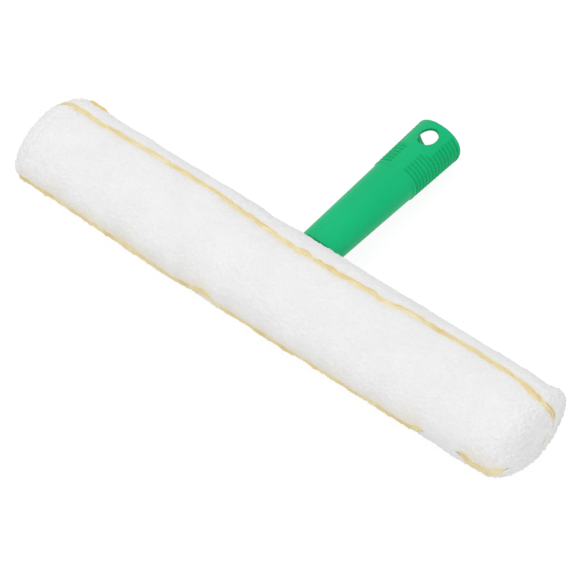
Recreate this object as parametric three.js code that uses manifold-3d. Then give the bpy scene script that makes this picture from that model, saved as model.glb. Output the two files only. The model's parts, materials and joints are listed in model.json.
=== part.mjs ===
// A window strip washer: a plush sleeve on a T-bar with a tapered, ribbed handle.
// Millimetres. X runs along the crossbar, Y from the crossbar to the handle's free end and Z up.
// The washer lies as on a table: the sleeve's underside and the handle's free end rest at Z = 0.
import * as THREE from "three";
import { mergeVertices } from "three/addons/utils/BufferGeometryUtils.js";
import Module from "manifold-3d";

const wasm = await Module();
wasm.setup();

// Driving dimensions: gap between touching pieces, play between T-bar and sleeve, reach of cutters
const pieceGap = 0.3;
const barPlay = 0.5;
const overrun = 6;

// Driving dimensions: plush sleeve
const sleeveLength = 360;
const sleeveHalfWidth = 33.5;
const sleeveHalfHeight = 23.7;
const endRound = 15;
const restFlatDepth = 0.5;
const topSeamAngle = THREE.MathUtils.degToRad(57.5);
const frontSeamAngle = THREE.MathUtils.degToRad(194);
const bottomSeamAngle = THREE.MathUtils.degToRad(297.3);
const seamWidth = 2.6;
const seamGrooveDepth = 1.6;
const seamGrooveReach = 4.5;
const hemWidth = 1.4;
const hemSplit = 0.6;
const slitCornerLength = 17;
const slitCornerRise = 11;
const bindingWidth = 2.5;
const bindingDepth = 2.5;

// Driving dimensions: end flap and its fastening
const flapLiningThickness = 1.5;
const flapLiningMargin = 2;
const patchThickness = 1.2;
const patchWidth = 18;
const patchHeight = 6.4;
const patchShift = 6;

// Driving dimensions: crossbar and its caps
const barHalfWidth = 20;
const barHalfHeight = 10;
const barWall = 2.4;
const coreLength = 64;
const capFlange = 3;
const capPlugLength = 12;
const capRound = 1;
const drainHalfLength = 8.5;
const drainHalfWidth = 4.5;
const drainPitch = 28;
const drainCount = 4;
const drainMargin = 16;

// Driving dimensions: handle
const gripEnd = 148.2;
const gripStartHalfWidth = 12.6;
const gripStartHalfHeight = 10.4;
const gripEndHalfWidth = 15.1;
const gripEndHalfHeight = 12.2;
const gripWall = 2;
const boreStart = 52;
const ribbedStart = 103.4;
const ribbedStep = 0.5;
const ribPitch = 2.9;
const ribDepth = 0.9;
const ribCount = 14;
const rimRound = 1.2;
const panelHalfWidth = 4.6;
const holePanelHalfWidth = 9.6;
const holePanelLength = 25.2;
const hangHoleHalfWidth = 5.8;
const hangHoleHalfLength = 7.3;
const hangHoleFromEnd = 13.7;
const tangHalfWidth = 12;
const tangHalfHeight = 5;
const shoulderRound = 2.5;
const saddleLength = 46;
const saddleWall = 2.4;
const saddleReach = 16;

// Driving dimensions: saddle screws
const screwFromSaddleEnd = 8;
const screwFromBack = 12;
const screwHeadRadius = 3;
const screwHeadHeight = 1.8;
const screwShankRadius = 1.5;
const screwLength = 13;
const screwSocketRadius = 1.2;
const screwSocketDepth = 1;

// Counts and shares that set how finely curves are drawn
const sectionSteps = 72;
const domeSteps = 6;
const gripSectionSteps = 36;
const arcSteps = 8;
const shoulderSteps = 3;
const gripSectionPower = 2.2;

// Places worked out from the driving dimensions
const mouthX = -(sleeveLength / 2 - endRound);
const cavityEndX = sleeveLength / 2 - endRound;
const barHalfLength = cavityEndX - barPlay;
const slitHalfGap = tangHalfHeight + barPlay;
const slitInnerY = barHalfWidth - barHalfHeight;
const slitBackY = sleeveHalfWidth * Math.sqrt(1 - (slitHalfGap / sleeveHalfHeight) ** 2);
const shoulderY = slitBackY + barPlay;
const farRadius = sleeveHalfWidth + sleeveHalfHeight;
const hangHoleY = gripEnd - hangHoleFromEnd;
const screwX = saddleLength / 2 - screwFromSaddleEnd;

// The tilt at which the sleeve's flat underside and the handle's rim both touch the table.
const floorDrop = sleeveHalfHeight - restFlatDepth;
const rimY = gripEnd - rimRound;
const rimDrop = gripEndHalfHeight + ribbedStep;
const restTilt = Math.asin(floorDrop / Math.hypot(rimY, rimDrop)) - Math.atan2(rimDrop, rimY);

// Materials
const greenPlastic = { color: 0x20b87b, roughness: 0.42, metalness: 0 };
const whitePlush = { color: 0xeeeeee, roughness: 1, metalness: 0 };
const yellowThread = { color: 0xf0d684, roughness: 0.9, metalness: 0 };
const whiteFabric = { color: 0xdcdcd8, roughness: 0.95, metalness: 0 };
const hookTape = { color: 0xe6e6e2, roughness: 0.8, metalness: 0 };
const steel = { color: 0xb8bcc0, roughness: 0.35, metalness: 0.9 };

// A closed three.js geometry as a solid that can be cut and joined.
function solid(geometry) {
  const plain = geometry.index ? geometry.toNonIndexed() : geometry.clone();
  plain.deleteAttribute("normal");
  plain.deleteAttribute("uv");
  const merged = mergeVertices(plain);
  const mesh = new wasm.Mesh({
    numProp: 3,
    vertProperties: new Float32Array(merged.attributes.position.array),
    triVerts: new Uint32Array(merged.index.array),
  });
  return new wasm.Manifold(mesh);
}

function geometryOf(body) {
  const mesh = body.getMesh();
  const geometry = new THREE.BufferGeometry();
  geometry.setAttribute("position", new THREE.BufferAttribute(mesh.vertProperties, 3));
  geometry.setIndex(new THREE.BufferAttribute(mesh.triVerts, 1));
  geometry.computeVertexNormals();
  return geometry;
}

function named(name, body, look) {
  const mesh = new THREE.Mesh(geometryOf(body), new THREE.MeshStandardMaterial(look));
  mesh.name = name;
  return mesh;
}

// A closed skin over rings of points, each ring going the same way round, with a fan at both ends.
function loft(rings, firstTip, lastTip) {
  const points = rings.flat().concat([firstTip, lastTip]);
  const count = rings[0].length;
  const first = points.length - 2;
  const last = points.length - 1;
  const faces = [];
  for (let i = 0; i < count; i++) {
    const next = (i + 1) % count;
    faces.push(first, next, i);
    for (let r = 0; r + 1 < rings.length; r++) {
      const low = r * count;
      const high = low + count;
      faces.push(low + i, low + next, high + next);
      faces.push(low + i, high + next, high + i);
    }
    const top = (rings.length - 1) * count;
    faces.push(last, top + i, top + next);
  }
  const geometry = new THREE.BufferGeometry().setFromPoints(points);
  geometry.setIndex(faces);
  return geometry;
}

// Prisms: an outline drawn in the plane across an axis, pushed along that axis.
function prism(shape, depth) {
  return new THREE.ExtrudeGeometry(shape, { depth, bevelEnabled: false, curveSegments: arcSteps });
}

function prismX(shape, from, to) {
  const turn = new THREE.Matrix4().makeBasis(
    new THREE.Vector3(0, 1, 0),
    new THREE.Vector3(0, 0, 1),
    new THREE.Vector3(1, 0, 0),
  );
  return solid(prism(shape, to - from).applyMatrix4(turn).translate(from, 0, 0));
}

function prismY(shape, from, to) {
  return solid(prism(shape, to - from).rotateX(Math.PI / 2).translate(0, to, 0));
}

function box(low, high) {
  const size = new THREE.Vector3().subVectors(high, low);
  const centre = new THREE.Vector3().addVectors(low, high).multiplyScalar(1 / 2);
  return solid(new THREE.BoxGeometry(size.x, size.y, size.z).translate(centre.x, centre.y, centre.z));
}

function cylinderZ(radius, x, y, from, to) {
  const geometry = new THREE.CylinderGeometry(radius, radius, to - from, 4 * arcSteps);
  return solid(geometry.rotateX(Math.PI / 2).translate(x, y, (from + to) / 2));
}

function ovalZ(halfWidth, halfLength, y, from, to) {
  const outline = new THREE.Shape();
  outline.absellipse(0, 0, halfWidth, halfLength, 0, 2 * Math.PI);
  const geometry = new THREE.ExtrudeGeometry(outline, {
    depth: to - from,
    bevelEnabled: false,
    curveSegments: 4 * arcSteps,
  });
  return solid(geometry.translate(0, y, from));
}

// An outline with straight long sides and half-round ends, centred on its plane's origin.
function stadium(halfLong, halfShort) {
  const shape = new THREE.Shape();
  const straight = halfLong - halfShort;
  shape.absarc(straight, 0, halfShort, -Math.PI / 2, Math.PI / 2);
  shape.absarc(-straight, 0, halfShort, Math.PI / 2, (3 * Math.PI) / 2);
  shape.closePath();
  return shape;
}

function rectangle(x0, y0, x1, y1) {
  return new THREE.Shape([
    new THREE.Vector2(x0, y0),
    new THREE.Vector2(x1, y0),
    new THREE.Vector2(x1, y1),
    new THREE.Vector2(x0, y1),
  ]);
}

// The sleeve's outer form: an oval tube, drawn in along each seam and domed at both ends.
function sleeveRadius(angle) {
  const oval =
    (sleeveHalfWidth * sleeveHalfHeight) /
    Math.hypot(sleeveHalfHeight * Math.cos(angle), sleeveHalfWidth * Math.sin(angle));
  let groove = 0;
  for (const seam of [topSeamAngle, frontSeamAngle, bottomSeamAngle]) {
    const turn = Math.atan2(Math.sin(angle - seam), Math.cos(angle - seam));
    groove += seamGrooveDepth * Math.exp(-(((turn * oval) / seamGrooveReach) ** 2));
  }
  return oval - groove;
}

function sleeveRing(x, share) {
  const ring = [];
  for (let i = 0; i < sectionSteps; i++) {
    const angle = (2 * Math.PI * i) / sectionSteps;
    const radius = share * sleeveRadius(angle);
    ring.push(new THREE.Vector3(x, radius * Math.cos(angle), radius * Math.sin(angle)));
  }
  return ring;
}

function sleeveForm() {
  const rings = [];
  for (let i = 1; i <= domeSteps; i++) {
    const turn = ((i / domeSteps) * Math.PI) / 2;
    rings.push(sleeveRing(mouthX - endRound * Math.cos(turn), Math.sin(turn)));
  }
  for (let i = domeSteps; i >= 1; i--) {
    const turn = ((i / domeSteps) * Math.PI) / 2;
    rings.push(sleeveRing(cavityEndX + endRound * Math.cos(turn), Math.sin(turn)));
  }
  const leftTip = new THREE.Vector3(-sleeveLength / 2, 0, 0);
  const rightTip = new THREE.Vector3(sleeveLength / 2, 0, 0);
  return solid(loft(rings, leftTip, rightTip));
}

// The table's surface, as a solid below it in the washer's own tilted frame.
function underTable() {
  const slab = new THREE.BoxGeometry(2 * sleeveLength, 2 * gripEnd, farRadius);
  slab.translate(0, 0, -farRadius / 2 - floorDrop).rotateX(restTilt);
  return solid(slab);
}

// A flat band from the sleeve's axis outwards at a seam's angle.
function seamBand(angle, width, start) {
  const outline = rectangle(start, -width / 2, farRadius, width / 2);
  const turned = outline.getPoints().map((p) => p.rotateAround(new THREE.Vector2(), angle));
  return prismX(new THREE.Shape(turned), -sleeveLength, sleeveLength);
}

// The wedge of the sleeve between two seams.
function wedge(from, to) {
  const outline = [new THREE.Vector2()];
  for (let i = 0; i <= arcSteps; i++) {
    const angle = from + ((to - from) * i) / arcSteps;
    outline.push(new THREE.Vector2(Math.cos(angle), Math.sin(angle)).multiplyScalar(2 * farRadius));
  }
  return prismX(new THREE.Shape(outline), -sleeveLength, sleeveLength);
}

// The slit's edge from the neck to the mouth, which turns up or down in a corner at the mouth.
// It bounds the solid between the slit's middle plane and the edge, moved outwards by offset.
function slitOpening(offset, side) {
  const cornerX = mouthX + slitCornerLength;
  const outline = new THREE.Shape();
  outline.moveTo(tangHalfWidth, 0);
  outline.lineTo(tangHalfWidth, side * offset);
  outline.lineTo(cornerX, side * offset);
  for (let i = 1; i <= arcSteps; i++) {
    const turn = ((i / arcSteps) * Math.PI) / 2;
    const rise = slitCornerRise * Math.sin(turn);
    outline.lineTo(cornerX - slitCornerLength * (1 - Math.cos(turn)), side * (offset + rise));
  }
  outline.lineTo(mouthX - overrun, side * (offset + slitCornerRise));
  outline.lineTo(mouthX - overrun, 0);
  outline.closePath();
  return prismY(outline, slitInnerY, 2 * farRadius);
}

function slot() {
  const outline = new THREE.Shape();
  const centre = tangHalfWidth - tangHalfHeight;
  outline.absarc(centre, 0, slitHalfGap, -Math.PI / 2, Math.PI / 2);
  outline.lineTo(-sleeveLength, slitHalfGap);
  outline.lineTo(-sleeveLength, -slitHalfGap);
  outline.closePath();
  return prismY(outline, 0, 2 * farRadius);
}

const form = sleeveForm();
const cavity = prismX(
  stadium(barHalfWidth + barPlay, barHalfHeight + barPlay),
  mouthX - overrun,
  cavityEndX,
);
const beyondMouth = box(
  new THREE.Vector3(-sleeveLength, -farRadius, -farRadius),
  new THREE.Vector3(mouthX, farRadius, farRadius),
);
const mainForm = form.subtract(beyondMouth).subtract(cavity).subtract(underTable());
const hemOuter = hemSplit / 2 + hemWidth;

function mouthRing(grow) {
  const inner = stadium(barHalfWidth + barPlay - grow, barHalfHeight + barPlay - grow);
  const outerHalfWidth = barHalfWidth + barPlay + bindingWidth + grow;
  const outerHalfHeight = barHalfHeight + barPlay + bindingWidth + grow;
  const outer = prismX(stadium(outerHalfWidth, outerHalfHeight), mouthX, mouthX + bindingDepth + grow);
  return outer.subtract(prismX(inner, mouthX - overrun, mouthX + bindingDepth + overrun));
}

const patchTop = -(barHalfHeight + barPlay + bindingWidth + 2 * pieceGap);

function patchOutline(grow) {
  return rectangle(
    -patchShift - patchWidth / 2 - grow,
    patchTop - patchHeight - grow,
    -patchShift + patchWidth / 2 + grow,
    patchTop + grow,
  );
}

function plushPanel(from, to, seams) {
  let body = mainForm.intersect(wedge(from, to));
  for (const seam of seams) body = body.subtract(seamBand(seam, seamWidth + 2 * pieceGap, 0));
  body = body.subtract(seamBand(topSeamAngle, seamWidth + 2 * pieceGap, -seamWidth / 2 - pieceGap));
  return body.subtract(mouthRing(pieceGap));
}

function backOpening() {
  let opening = slot();
  for (const side of [1, -1]) opening = opening.add(slitOpening(hemOuter + pieceGap, side));
  return opening;
}

function plushTop() {
  return plushPanel(topSeamAngle, frontSeamAngle, [topSeamAngle, frontSeamAngle]);
}

function plushBottom() {
  const body = plushPanel(frontSeamAngle, bottomSeamAngle, [frontSeamAngle, bottomSeamAngle]);
  return body.subtract(prismX(patchOutline(pieceGap), mouthX - overrun, mouthX + patchThickness + pieceGap));
}

function neckDisc(radius) {
  const outline = new THREE.Shape();
  outline.absarc(tangHalfWidth - tangHalfHeight, 0, radius, -Math.PI / 2, Math.PI / 2);
  outline.closePath();
  return prismY(outline, 0, 2 * farRadius);
}

function plushBack() {
  const body = plushPanel(bottomSeamAngle - 2 * Math.PI, topSeamAngle, [topSeamAngle, bottomSeamAngle]);
  const bound = neckDisc(slitHalfGap + bindingWidth + pieceGap);
  return body.subtract(backOpening()).subtract(bound);
}

function seam(angle, start) {
  return mainForm.intersect(seamBand(angle, seamWidth, start)).subtract(mouthRing(pieceGap));
}

function slitHem(side) {
  const strip = slitOpening(hemOuter, side).subtract(slitOpening(hemSplit / 2, side));
  const beside = box(
    new THREE.Vector3(mouthX, -farRadius, -farRadius),
    new THREE.Vector3(-tangHalfWidth - 2 * pieceGap, farRadius, farRadius),
  );
  return mainForm.intersect(strip).intersect(beside);
}

function slitLip(side) {
  const low = Math.min(side * (hemOuter + pieceGap), side * (slitHalfGap - pieceGap));
  const high = Math.max(side * (hemOuter + pieceGap), side * (slitHalfGap - pieceGap));
  const strip = box(
    new THREE.Vector3(mouthX + bindingDepth + pieceGap, 0, low),
    new THREE.Vector3(-tangHalfWidth - 2 * pieceGap, farRadius, high),
  );
  return mainForm.intersect(strip).subtract(slitOpening(hemOuter + pieceGap, side));
}

function neckBinding() {
  const ring = neckDisc(slitHalfGap + bindingWidth).subtract(neckDisc(slitHalfGap));
  return mainForm.intersect(ring);
}

function mouthBinding() {
  const besideSlit = box(
    new THREE.Vector3(mouthX - overrun, slitInnerY - pieceGap, -farRadius),
    new THREE.Vector3(cavityEndX, farRadius, farRadius),
  );
  return mouthRing(0).subtract(besideSlit);
}

function hookPatch() {
  return prismX(patchOutline(0), mouthX, mouthX + patchThickness);
}

// The end flap: the domed left end, with its lining and the loop half of the fastening.
const flapFace = mouthX - pieceGap;
const flapSide = box(
  new THREE.Vector3(-sleeveLength, -farRadius, -farRadius),
  new THREE.Vector3(flapFace, farRadius, farRadius),
);
const flapForm = form.intersect(flapSide).subtract(underTable());

function liningOutline(grow) {
  return stadium(
    barHalfWidth + flapLiningMargin + grow,
    barHalfHeight + flapLiningMargin + grow,
  );
}

function flapRecess() {
  const lining = prismX(liningOutline(pieceGap), flapFace - flapLiningThickness - pieceGap, mouthX);
  const patch = prismX(patchOutline(pieceGap), flapFace - patchThickness - pieceGap, mouthX);
  return lining.add(patch);
}

function flapPlush() {
  let body = flapForm.subtract(flapRecess());
  const width = seamWidth + 2 * pieceGap;
  const start = barHalfHeight;
  for (const angle of [topSeamAngle, frontSeamAngle, bottomSeamAngle])
    body = body.subtract(seamBand(angle, width, start - pieceGap));
  return body;
}

function flapSeam(angle) {
  return flapForm.intersect(seamBand(angle, seamWidth, barHalfHeight)).subtract(flapRecess());
}

function flapLining() {
  return prismX(liningOutline(0), flapFace - flapLiningThickness, flapFace);
}

function loopPatch() {
  return prismX(patchOutline(0), flapFace - patchThickness, flapFace);
}

// The crossbar: a hollow stadium section with a solid core that the handle's saddle is let into.
function saddleForm(grow) {
  const outer = prismX(
    stadium(barHalfWidth + overrun, barHalfHeight + overrun),
    -saddleLength / 2 - grow,
    saddleLength / 2 + grow,
  );
  const inner = prismX(
    stadium(barHalfWidth - saddleWall - grow, barHalfHeight - saddleWall - grow),
    -coreLength,
    coreLength,
  );
  const wrap = box(
    new THREE.Vector3(-coreLength, barHalfWidth - saddleReach - grow, -farRadius),
    new THREE.Vector3(coreLength, farRadius, farRadius),
  );
  return outer.subtract(inner).intersect(wrap);
}

function screwProfile(grow) {
  const headTop = screwHeadHeight + grow;
  return [
    new THREE.Vector2(0, -grow),
    new THREE.Vector2(screwHeadRadius + grow, -grow),
    new THREE.Vector2(screwShankRadius + grow, headTop),
    new THREE.Vector2(screwShankRadius + grow, screwLength + grow),
    new THREE.Vector2(0, screwLength + grow),
  ];
}

function screwForm(grow, x) {
  const turned = new THREE.LatheGeometry(screwProfile(grow), 2 * arcSteps);
  turned.rotateX(Math.PI / 2).translate(x, barHalfWidth - screwFromBack, -barHalfHeight);
  return solid(turned);
}

function drainSlot(x) {
  const reach = barHalfHeight + overrun;
  const cutter = prism(stadium(drainHalfLength, drainHalfWidth), 2 * reach);
  return solid(cutter.translate(x, 0, -reach));
}

function crossbar() {
  const innerEnd = barHalfLength - capFlange;
  const outline = stadium(barHalfWidth, barHalfHeight);
  const hollow = stadium(barHalfWidth - barWall, barHalfHeight - barWall);
  let body = prismX(outline, -innerEnd + pieceGap, innerEnd - pieceGap);
  for (const side of [1, -1]) {
    const near = side * (coreLength / 2);
    const far = side * (barHalfLength + overrun);
    body = body.subtract(prismX(hollow, Math.min(near, far), Math.max(near, far)));
    for (let i = 0; i < drainCount; i++) {
      const x = side * (coreLength / 2 + drainMargin + i * drainPitch);
      body = body.subtract(drainSlot(x));
    }
    body = body.subtract(screwForm(pieceGap, side * screwX));
  }
  return body.subtract(saddleForm(pieceGap));
}

function endCap(side) {
  const inner = side * (barHalfLength - capFlange);
  const outer = side * barHalfLength;
  const plugEnd = side * (barHalfLength - capFlange - capPlugLength);
  const plugHalfWidth = barHalfWidth - barWall - pieceGap;
  const plugHalfHeight = barHalfHeight - barWall - pieceGap;
  const ring = (inset, x) => {
    const outline = stadium(barHalfWidth - inset, barHalfHeight - inset).getPoints(2 * arcSteps);
    outline.pop();
    return outline.map((p) => new THREE.Vector3(x, p.x, p.y));
  };
  const rings = [ring(0, inner), ring(0, outer - side * capRound), ring(capRound, outer)];
  const tips = [new THREE.Vector3(inner, 0, 0), new THREE.Vector3(outer, 0, 0)];
  if (side < 0) {
    rings.reverse();
    tips.reverse();
  }
  const flange = solid(loft(rings, tips[0], tips[1]));
  const plug = prismX(
    stadium(plugHalfWidth, plugHalfHeight),
    Math.min(plugEnd, inner),
    Math.max(plugEnd, inner),
  );
  const hollow = prismX(
    stadium(plugHalfWidth - barWall, plugHalfHeight - barWall),
    Math.min(plugEnd - side * overrun, inner),
    Math.max(plugEnd - side * overrun, inner),
  );
  return flange.add(plug).subtract(hollow);
}

function saddleScrew(side) {
  const x = side * screwX;
  const body = screwForm(0, x);
  const y = barHalfWidth - screwFromBack;
  return body.subtract(
    cylinderZ(screwSocketRadius, x, y, -barHalfHeight - overrun, -barHalfHeight + screwSocketDepth),
  );
}

// The handle: half width and half height grow evenly from the shoulder to the free end.
function gripHalf(y, start, end) {
  return start + ((end - start) * (y - shoulderY)) / (gripEnd - shoulderY);
}

function gripRing(y, inset, ribShare) {
  const halfWidth = gripHalf(y, gripStartHalfWidth, gripEndHalfWidth) - inset;
  const halfHeight = gripHalf(y, gripStartHalfHeight, gripEndHalfHeight) - inset;
  const nearHole = y > gripEnd - holePanelLength;
  const plain = nearHole ? holePanelHalfWidth : panelHalfWidth;
  const ring = [];
  for (let i = 0; i < gripSectionSteps; i++) {
    const angle = (-2 * Math.PI * i) / gripSectionSteps;
    const round = (value) => Math.sign(value) * Math.abs(value) ** (2 / gripSectionPower);
    const x = halfWidth * round(Math.cos(angle));
    const z = halfHeight * round(Math.sin(angle));
    const cut = Math.abs(x) > plain ? ribDepth * ribShare : 0;
    const shrink = 1 - cut / Math.hypot(x, z);
    ring.push(new THREE.Vector3(x * shrink, y, z * shrink));
  }
  return ring;
}

function gripForm() {
  const rings = [gripRing(shoulderY, shoulderRound, 0)];
  for (let i = 1; i <= shoulderSteps; i++) {
    const turn = ((i / shoulderSteps) * Math.PI) / 2;
    const y = shoulderY + shoulderRound * (1 - Math.cos(turn));
    rings.push(gripRing(y, shoulderRound * (1 - Math.sin(turn)), 0));
  }
  rings.push(gripRing(ribbedStart - ribbedStep, 0, 0));
  rings.push(gripRing(ribbedStart, -ribbedStep, 0));
  for (let i = 1; i <= ribCount; i++) {
    const y = ribbedStart + i * ribPitch;
    rings.push(gripRing(y - ribPitch / 2, -ribbedStep, 0));
    rings.push(gripRing(y, -ribbedStep, 1));
  }
  rings.push(gripRing(ribbedStart + ribPitch * (ribCount + 1 / 2), -ribbedStep, 0));
  rings.push(gripRing(gripEnd - rimRound, -ribbedStep, 0));
  rings.push(gripRing(gripEnd, rimRound - ribbedStep, 0));
  return solid(loft(rings, new THREE.Vector3(0, shoulderY, 0), new THREE.Vector3(0, gripEnd, 0)));
}

function gripBore() {
  const rings = [gripRing(boreStart, gripWall, 0), gripRing(gripEnd + overrun, gripWall - ribbedStep, 0)];
  const floor = new THREE.Vector3(0, boreStart, 0);
  return solid(loft(rings, floor, new THREE.Vector3(0, gripEnd + overrun, 0)));
}

function handle() {
  const tang = prismY(
    stadium(tangHalfWidth, tangHalfHeight),
    barHalfWidth - saddleWall / 2,
    shoulderY + shoulderRound,
  );
  const barOutline = prismX(stadium(barHalfWidth, barHalfHeight), -saddleLength, saddleLength);
  let body = gripForm().subtract(gripBore()).add(tang);
  body = body.add(saddleForm(0).intersect(barOutline));
  const reach = gripEndHalfHeight + overrun;
  body = body.subtract(ovalZ(hangHoleHalfWidth, hangHoleHalfLength, hangHoleY, -reach, reach));
  for (const side of [1, -1]) body = body.subtract(screwForm(pieceGap, side * screwX));
  return body;
}

// The three bodies of the washer
const tBar = new THREE.Group();
tBar.add(named("handle", handle(), greenPlastic));
tBar.add(named("crossbar", crossbar(), greenPlastic));
tBar.add(named("end_cap_left", endCap(-1), greenPlastic));
tBar.add(named("end_cap_right", endCap(1), greenPlastic));
tBar.add(named("saddle_screw_left", saddleScrew(-1), steel));
tBar.add(named("saddle_screw_right", saddleScrew(1), steel));

const sleeve = new THREE.Group();
sleeve.add(named("plush_top", plushTop(), whitePlush));
sleeve.add(named("plush_bottom", plushBottom(), whitePlush));
sleeve.add(named("plush_back", plushBack(), whitePlush));
sleeve.add(named("seam_top", seam(topSeamAngle, -seamWidth / 2), yellowThread));
sleeve.add(named("seam_front", seam(frontSeamAngle, seamWidth / 2 + 2 * pieceGap), yellowThread));
sleeve.add(named("seam_bottom", seam(bottomSeamAngle, seamWidth + 2 * pieceGap), yellowThread));
sleeve.add(named("slit_lip_upper", slitLip(1), whitePlush));
sleeve.add(named("slit_lip_lower", slitLip(-1), whitePlush));
sleeve.add(named("slit_hem_upper", slitHem(1), yellowThread));
sleeve.add(named("slit_hem_lower", slitHem(-1), yellowThread));
sleeve.add(named("neck_binding", neckBinding(), yellowThread));
sleeve.add(named("mouth_binding", mouthBinding(), yellowThread));
sleeve.add(named("hook_patch", hookPatch(), hookTape));

const endFlap = new THREE.Group();
endFlap.add(named("flap_plush", flapPlush(), whitePlush));
endFlap.add(named("flap_seam_top", flapSeam(topSeamAngle), yellowThread));
endFlap.add(named("flap_seam_front", flapSeam(frontSeamAngle), yellowThread));
endFlap.add(named("flap_seam_bottom", flapSeam(bottomSeamAngle), yellowThread));
endFlap.add(named("flap_lining", flapLining(), whiteFabric));
endFlap.add(named("loop_patch", loopPatch(), whiteFabric));

const washer = new THREE.Group();
washer.add(tBar, sleeve, endFlap);
washer.rotation.x = -restTilt;
washer.position.z = floorDrop;

export default washer;
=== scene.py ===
"""Looks of the window strip washer: pile, sewn yarn, moulded green plastic and fastening tape."""
import json
import math

import bpy
import numpy as np
from mathutils import Matrix, Vector

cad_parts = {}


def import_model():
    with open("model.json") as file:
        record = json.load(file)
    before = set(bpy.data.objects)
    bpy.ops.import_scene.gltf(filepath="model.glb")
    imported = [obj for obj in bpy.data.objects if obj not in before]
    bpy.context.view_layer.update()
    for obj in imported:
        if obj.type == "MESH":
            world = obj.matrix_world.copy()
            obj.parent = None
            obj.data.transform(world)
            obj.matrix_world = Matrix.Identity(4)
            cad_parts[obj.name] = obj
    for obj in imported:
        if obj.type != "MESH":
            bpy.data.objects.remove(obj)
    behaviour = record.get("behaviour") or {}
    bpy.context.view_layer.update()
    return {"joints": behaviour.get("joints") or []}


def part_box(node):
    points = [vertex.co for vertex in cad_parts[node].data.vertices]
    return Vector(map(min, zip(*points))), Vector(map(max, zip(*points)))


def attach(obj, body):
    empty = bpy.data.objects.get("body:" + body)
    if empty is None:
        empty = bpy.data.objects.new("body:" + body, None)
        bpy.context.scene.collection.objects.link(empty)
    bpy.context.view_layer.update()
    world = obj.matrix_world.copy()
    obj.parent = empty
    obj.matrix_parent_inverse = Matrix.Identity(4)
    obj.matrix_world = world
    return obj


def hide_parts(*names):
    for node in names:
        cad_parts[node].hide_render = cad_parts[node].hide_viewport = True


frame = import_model()

# The washer's own tilted frame in millimetres: X along the bar, Y to the handle's end, Z up.
hinge = next(j for j in frame["joints"] if j["name"] == "end_flap_hinge")
AXIS_X = np.array([1.0, 0.0, 0.0])
AXIS_Y = np.array(hinge["axis"])
AXIS_Z = np.cross(AXIS_X, AXIS_Y)
cap_low, cap_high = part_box("end_cap_left")
ORIGIN = np.array([0.0, (cap_low.y + cap_high.y) / 2, (cap_low.z + cap_high.z) / 2])

# Sleeve, in millimetres as in the part: half sizes, ends and the space for the crossbar
HALF_WIDTH, HALF_HEIGHT = 33.5, 23.7
MOUTH, CAVITY_END, END_ROUND = -165.0, 165.0, 14.5
CAVITY_WIDTH, CAVITY_HEIGHT = 20.5, 10.5
FLAP_GAP, FLAP_FACE, FLAP_RIM = 0.04, -165.3, -165.25
TOP, FRONT, BOTTOM = range(3)
SEAMS = (("top", TOP), ("front", FRONT), ("bottom", BOTTOM))

# Slit, from the handle's neck to the mouth
NECK_X, SLIT_HALF = 7.0, 5.5
CORNER_LENGTH, CORNER_RISE = 17.0, 11.3
HEM_ROOM, LIP_ROOM, LIP_EDGE, LIP_END = 2.0, 5.25, 5.22, -12.7

# Pile: spacing of its points, of its tufts, lumps and waves, and how deep sewn places lie
ROW_STEP, COLUMN_STEP, DOME_ROWS, TIP_TURN = 0.55, 0.54, 76, 0.012
TUFT_SIZE, SMALL_TUFT_SIZE, GRAIN_SIZE = 2.5, 1.35, 0.55
LUMP_SIZE, WAVE_SIZE, LEAN_SIZE = 10.0, 27.0, 6.0
GROOVE_DEPTHS, GROOVE_REACH = (1.0, 0.6, 1.2), 4.5
SUNK_SEAM, EDGE_REACH, WALL_GAP = 1.6, 1.6, 1.45

# Yarn: pitch of its stitches, height of their ridges and the step between rings of points
STITCH, HEM_STITCH, STITCH_RISE = 1.5, 1.6, 0.35
SEAM_STEP, HEM_STEP, BINDING_STEP = 0.22, 0.2, 0.25

# Patches of hook and loop tape: y and z of their edges, and the lining's half sizes
PATCH, PATCH_ROOM = (-15, 3, -20, -13.6), 0.2
LINING_WIDTH, LINING_HEIGHT, LINING_EDGE, LINING_ROOM = 22, 12, 11.9, 0.15

# Crossbar, saddle and end caps
BAR_WIDTH, BAR_HEIGHT, BAR_WALL, BAR_END, CORE_END = 20, 10, 2.4, 161.2, 32.0
SLOT_COUNT, SLOT_FIRST, SLOT_PITCH, SLOT_WIDTH, SLOT_HEIGHT, SLOT_ROUND = 4, 48.0, 28.0, 8.5, 4.5, 0.6
SADDLE_END, SADDLE_FRONT, SEAT_PLAY = 23.0, 4.0, 0.3
TANG_WIDTH, TANG_HEIGHT, TANG_START, TANG_END = 12, 5, 18.8, 35.6
CAP_START, CAP_FACE, CAP_ROUND, CAP_EDGE = 161.5, 164.5, 1.2, 0.3
PLUG_PLAY, PLUG_START, PLUG_END, PLUG_LEAD, PLUG_WALL = 0.3, 149.5, 162.5, 1.0, 2.4

# Screws
SCREW_X, SCREW_Y, SCREW_LENGTH, SCREW_ROOM = 15, 8, 13, 0.3
HEAD_RADIUS, HEAD_EDGE, HEAD_HEIGHT, SHANK_RADIUS, SOCKET_RADIUS = 3.0, 0.15, 1.8, 1.5, 1.3

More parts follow.
